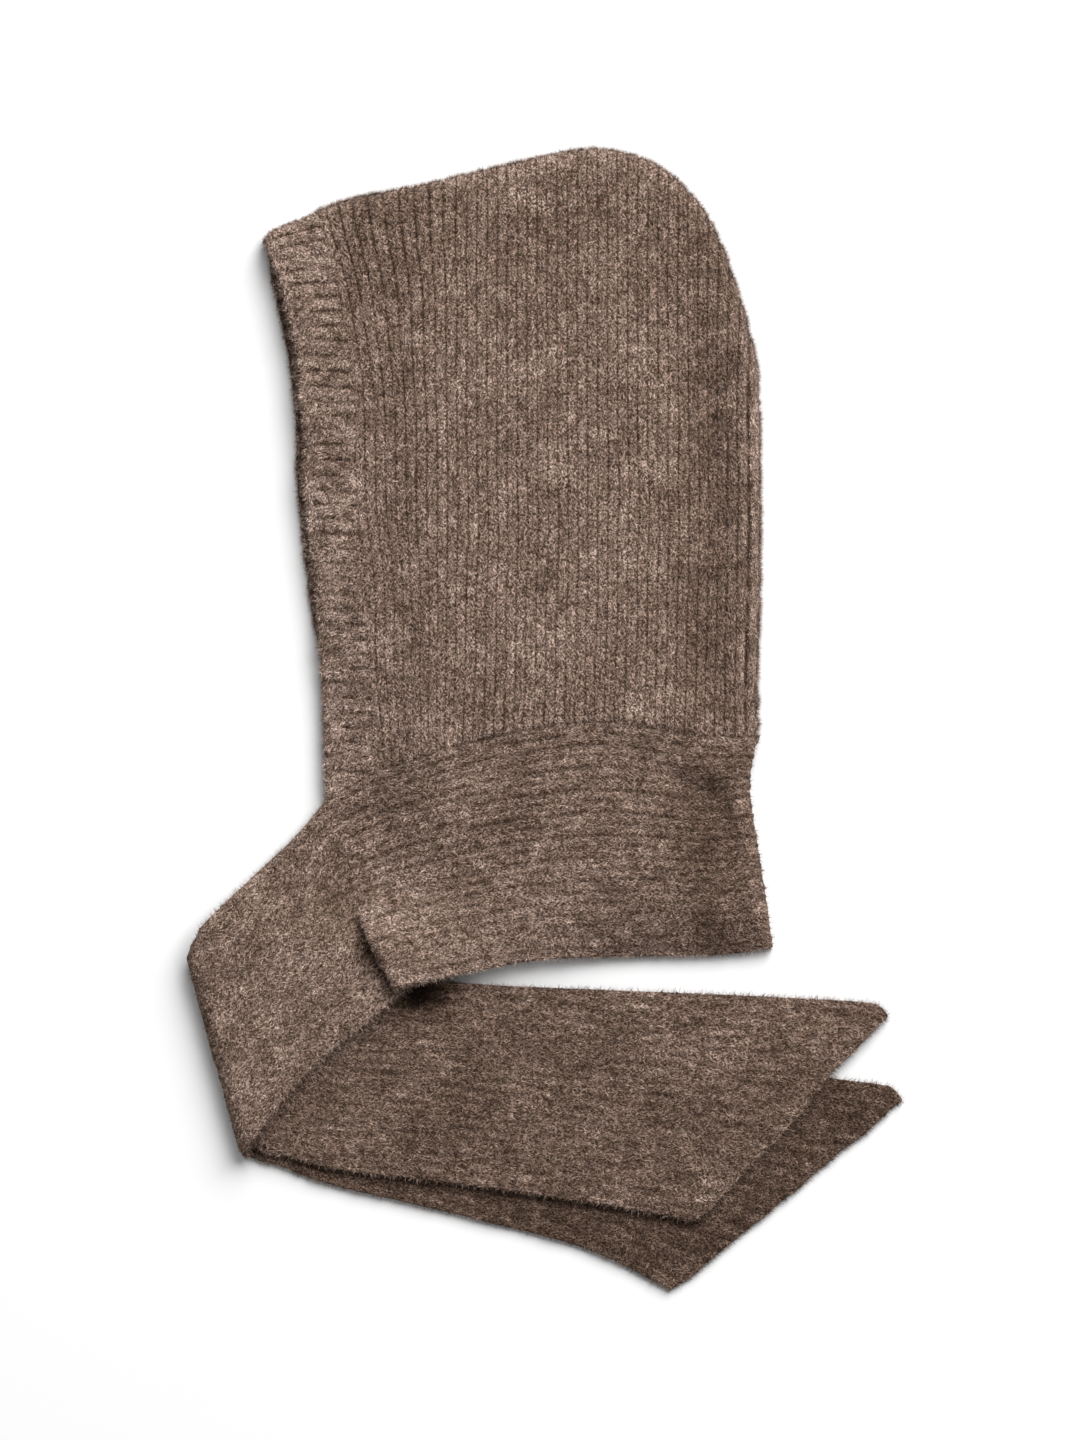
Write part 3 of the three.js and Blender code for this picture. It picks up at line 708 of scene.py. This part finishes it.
seam_ahead = panel_line(0, np.zeros(1))[0] - pleat_top
seam_ahead /= np.linalg.norm(seam_ahead)
pleat_turn = math.pi * ease(0.48, 0.86, scarf_shares)
pleat_lap = pleat_overlap * (0.08 + 0.92 * ease(0.66, 1, scarf_shares))
pleat_drop = 2 * roll_radius * (1 - np.cos(pleat_turn)) + pleat_lap * np.sin(pleat_turn)


def lifted(line, z):
    return np.concatenate([line, np.broadcast_to(z, line.shape[:1])[:, None]], 1)


def neck_row(share, inset, height, pleated):
    across = scarf_shares
    top_x = mix(back_top[0], pleat_top[0], share)
    hem_x = mix(back_hem[0], pleat_hem[0], share)
    x = mix(top_x, hem_x, across) - inset + mix(bow(across, 1), bow(across, 2), share)
    hidden = 0 if pleated else 2 * layer_pitch * ease(0, 0.2, share)
    y = mix(neck_y(top_x) - seam_gap / 2, hem_y(hem_x) + hidden, across)
    rim = mix(back_top[0], back_hem[0], across) + bow(across, 1)
    distance = inset + 0 * x if share == 0 else np.maximum(rim - x, 0)
    z = height(x, y, distance)
    if pleated:
        z = z + pleat_drop * ease(-0.22 * fold_reach, 0, past_pleat(x, y))
    return np.stack([x, y, z], -1)


def neck_side(radius, height, pleated, count):
    rows = [neck_row(0, inset, height, pleated) for inset in rim_steps(radius, radius, 7, 0)]
    start = radius / fold_reach
    return rows + [neck_row(mix(start, 1, k / count), 0, height, pleated) for k in range(1, count + 1)]


def pleat_rows(turns):
    rows = []
    ways = [(s, 0) for s in turns] + [(1 - s, 1) for s in turns]
    for number, (share, second) in enumerate(ways[1:]):
        spare = seam_slack * (1 - pleat_turn / math.pi) * (number + 1) / (len(ways) - 1)
        turn = pleat_turn * share
        if second:
            ahead = roll_radius * (2 * np.sin(pleat_turn) - np.sin(turn)) + pleat_lap * np.cos(pleat_turn)
            drop = roll_radius * (1 - 2 * np.cos(pleat_turn) + np.cos(turn)) + pleat_lap * np.sin(pleat_turn)
        else:
            ahead = roll_radius * np.sin(turn)
            drop = roll_radius * (1 - np.cos(turn))
        line = mix(pleat_top, pleat_hem, scarf_shares[:, None])
        line[:, 0] += bow(scarf_shares, 2)
        line = line + pleat_ahead * ahead[:, None] + seam_ahead * spare[:, None]
        z = upper_z(line[:, 0], line[:, 1], np.full(len(line), fold_reach)) + pleat_drop - drop
        rows.append(lifted(line, z))
    return rows


# Rows round a fold, from the layer above, which comes from one line, to the layer below,
# which goes on to another. The corners are a little tucked in.
def fold_rows(line, before, after, above, below, count):
    run = (line[-1] - line[0]) / np.linalg.norm(line[-1] - line[0])
    out = np.array([run[1], -run[0]])
    out = -out if out[0] > 0 else out
    way = [(line - side) / np.maximum((line - side) @ out, 2)[:, None] for side in (before, after)]
    high, low = above(line[:, 0], line[:, 1]), below(line[:, 0], line[:, 1])
    radius = (high - low) / 2
    from_end = scarf_shares * scarf_width
    tuck = 4 * near(from_end, 0, 4.5) + 1.5 * near(from_end, scarf_width, 3)
    rows = []
    for turn in np.linspace(0, math.pi, count):
        shift = radius * math.sin(turn) - radius - knit / 2 - tuck
        moved = line + mix(way[0], way[1], turn / math.pi) * shift[:, None]
        rows.append(lifted(moved, low + radius * (1 + math.cos(turn))))
    return rows


rows = []
tip_shares = np.array([1, 0.997, 0.993, 0.988])
for share in np.concatenate([tip_shares, np.linspace(0.982, 0.09, 36)]):
    rows.append(lifted(tail_line(lower_tail_rows, share, scarf_shares), floor_layer))
fold_start = len(rows)
lower_tail = tail_line(lower_tail_rows, 0.09, scarf_shares)
panel = [panel_line(share, scarf_shares) for share in (1, 0.8)]
rows += fold_rows(*panel, lower_tail, top_panel_z, lambda x, y: floor_layer + 0 * x, 12)[::-1]
panel_start = len(rows)
for share in np.linspace(0.8, 0.14, 20):
    line = panel_line(share, scarf_shares)
    rows.append(lifted(line, top_panel_z(line[:, 0], line[:, 1])))
rows += pleat_rows(np.linspace(0, 1, 9))[::-1]
neck_start = len(rows)
rows += neck_side(rim_radius, upper_z, True, 60)[::-1]
neck_end = len(rows)
rows += neck_side(rim_curl, lower_z, False, 24)[1:]
for share in np.linspace(0.10, 0.77, 10):
    line = panel_line(share, scarf_shares, layer_pitch)
    rows.append(lifted(line, under_layer_z(line[:, 0], line[:, 1])))
panel = [panel_line(share, scarf_shares, layer_pitch) + (2 * layer_pitch, 0) for share in (1, 0.77)]
upper_tail = tail_line(upper_tail_rows, 0.11, scarf_shares)
rows += fold_rows(*panel, upper_tail, under_layer_z, upper_tail_z, 8)
tail_start = len(rows)
for share in np.concatenate([np.linspace(0.11, 0.982, 36), tip_shares[::-1]]):
    line = tail_line(upper_tail_rows, share, scarf_shares)
    rows.append(lifted(line, upper_tail_z(line[:, 0], line[:, 1])))
points = np.array(rows).transpose(1, 0, 2)
normals = facing(points)
steps = np.linalg.norm(np.diff(points, axis=1), axis=-1).mean(0)
along = np.concatenate([[0], np.cumsum(steps)])[None, :]
place = scarf_shares[:, None] * scarf_width
number = np.arange(len(rows))[None, :]
in_neck = ease(neck_start - 30, neck_start, number) * (1 - ease(neck_end, neck_end + 10, number))
down = scarf_shares[:, None]
size = mix(0.3, mix(0.85, 0.5, ease(0.3, 0.95, down)), in_neck)
stand = ribbed(place + 0.4 * uneven(along, place, 70, 51), along, scarf_rib, 0.4, 0.13, 52)
stand = 1 - (1 - stand) * size
lumps = 0.25 * uneven(along, place, 9, 55) + 0.3 * uneven(along, place, 45, 56)
points = points + normals * (scarf_groove * (stand - 0.8) + lumps)[..., None]
x, y = points[..., 0], points[..., 1]
at_rim = near(x, back_x(y), 9) * in_neck
x += 2.0 * at_rim * near(y, -2.5, 3.5)
points[..., 2] = np.maximum(points[..., 2], wall / 2 + 0.05)

# The ends are streaky and painted darker than the neck, the lower end most, as shade; the crease
# in the neck is darkened with painted shade.
on_panel = ease(panel_start - 8, panel_start, number) * (1 - ease(tail_start - 12, tail_start - 8, number))
on_ends = (number < fold_start) | (number >= tail_start)
to_tip = ease(0.5, 1, np.abs(number - (neck_start + neck_end) / 2) / (len(rows) / 2))
painted_end_shade = mix(-0.26, -0.09, ease(0, 1, number - neck_end)) - 0.08 * to_tip
crease_shade_mask = near(x, -mix(36, 24, down), mix(20, 17, down)) * ease(0.0, 0.25, down)
tone = mix(painted_end_shade, 0.02 - 0.02 * in_neck - 0.24 * crease_shade_mask * in_neck, on_panel)
tone = tone + 0.11 * on_ends * uneven(place, along / 6, 5, 66)
tone = tone + 0.07 * (number >= neck_start) * (1 - ease(neck_start, neck_start + 30, number))
# The upper end is painted darker towards the fold, as the panel's shadow, and a little lighter towards its
# tip.
tone = tone + (number >= tail_start) * mix(-0.06, 0.06, ease(-fold_reach, 60, x))

# Deep shade beneath the pleat, round its lower corner, and beside the upper end.
past = past_pleat(x - bow(down, 2), y)
beneath = (number > panel_start + 8) & (number < neck_start - 5)
tone = tone - 1.0 * beneath * near(past, 2.5, 5.5) * ease(0.55, 0.9, down)
from_corner = np.hypot(x - pleat_hem[0] + 1, y - pleat_hem[1] + 5)
tone = tone - 1.0 * (number < neck_start - 5) * near(from_corner, 0, 6)
from_corner = np.hypot(x - pleat_hem[0] - 8, 1.7 * (y - pleat_hem[1] + 5))
tone = tone - 1.5 * on_ends * near(from_corner, 0, 13)
upper_hem = curve(upper_tail_rows[:, 2], upper_tail_rows[:, 3], (x + fold_reach) / tail_reach)
below = -upper_hem * scarf_width - y
beyond = x + fold_reach - upper_tail_rows[-1, 2] * tail_reach
beside = (number < fold_start) & (beyond < 3)
tone = tone - 0.5 * beside * near(below, 1, 2.6) * ease(0, 60, x + fold_reach)
scarf_wool = wool("scarf wool", dark_wool, light_wool, leg_angle=1.07, grain=1.75, groove_shade=0.5)
scarf = knitted("scarf_rib", points, place, along + 0 * place, stand, tone, scarf_wool)
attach(scarf, "root")
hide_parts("scarf")

# Hairs grow only where the scarf shows: on the faces that are turned up, and not where the
# hood or the upper end covers it.
side = np.where(normals[..., 2] < -0.3, -1.0, 1.0)
weight = 0.45 + 0.55 * stand
weight[:, neck_end + 4:tail_start - 10] = 0
weight = np.where((number < fold_start - 2) & (below < -6) & (beyond < -8), 0, weight)
outward = points[-1] - points[-8]
inward = points[0] - points[7]
# Hairs in the grooves get painted shade, darker where the rib is low.
hairs = [
    spread(
        points, normals, 125000, 57, rib_axis=1, side=side,
        weight=weight, tone=tone - 0.4 * (1 - stand),
    ),
    edging(points[-1], outward, 6500, 59, tone[-1]),
    edging(points[0], inward, 5000, 60, tone[0]),
    edging(points[:, 0], points[:, 0] - points[:, 2], 700, 61, tone[:, 0]),
    edging(points[:, -1], points[:, -1] - points[:, -3], 700, 62, tone[:, -1]),
]
scarf_nap = nap("scarf_nap", hairs, scarf_hair_length, hair_width, 58, hair_wool)
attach(scarf_nap, "root")

# Floor, light and camera
# A white surface in soft studio light from the top right, seen from straight above, 4 m
# over the middle of the cloth, in a picture 0.8064 m high.
picture_height = 0.8064
camera_distance = 4.0
cloth_middle = 0.005
bm = bmesh.new()
bmesh.ops.create_grid(bm, x_segments=1, y_segments=1, size=3)
bmesh.ops.translate(bm, vec=(0, 0, -0.0003), verts=bm.verts)
floor_mesh = bpy.data.meshes.new("floor")
bm.to_mesh(floor_mesh)
bm.free()
floor = bpy.data.objects.new("floor", floor_mesh)
bpy.context.collection.objects.link(floor)
white = bpy.data.materials.new("white paper")
white.use_nodes = True
white.node_tree.nodes["Principled BSDF"].inputs["Base Color"].default_value = (0.79, 0.79, 0.79, 1)
white.node_tree.nodes["Principled BSDF"].inputs["Roughness"].default_value = 0.9
white.node_tree.nodes["Principled BSDF"].inputs["Specular IOR Level"].default_value = 0.1
floor_mesh.materials.append(white)

world = bpy.data.worlds.new("studio")
world.use_nodes = True
world.node_tree.nodes["Background"].inputs["Color"].default_value = (1, 1, 1, 1)
world.node_tree.nodes["Background"].inputs["Strength"].default_value = 0.22
bpy.context.scene.world = world
for name, place, power, size in (
    ("key", (2.0, 3.3, 3.7), 545, 4.4),
    ("fill", (-1.6, -1.0, 2.4), 10, 1.8),
):
    lamp = bpy.data.lights.new(name, "AREA")
    lamp.energy = power
    lamp.size = size
    light = bpy.data.objects.new(name, lamp)
    light.location = place
    light.rotation_euler = (-light.location).to_track_quat("-Z", "Y").to_euler()
    bpy.context.collection.objects.link(light)

lens = bpy.data.cameras.new("camera")
lens.sensor_width = 36
lens.lens = lens.sensor_width * camera_distance / picture_height
lens.clip_end = 20
camera = bpy.data.objects.new("camera", lens)
camera.location = (0.0006, -0.0008, cloth_middle + camera_distance)
bpy.context.collection.objects.link(camera)
bpy.context.scene.camera = camera
bpy.context.scene.view_settings.view_transform = "Standard"
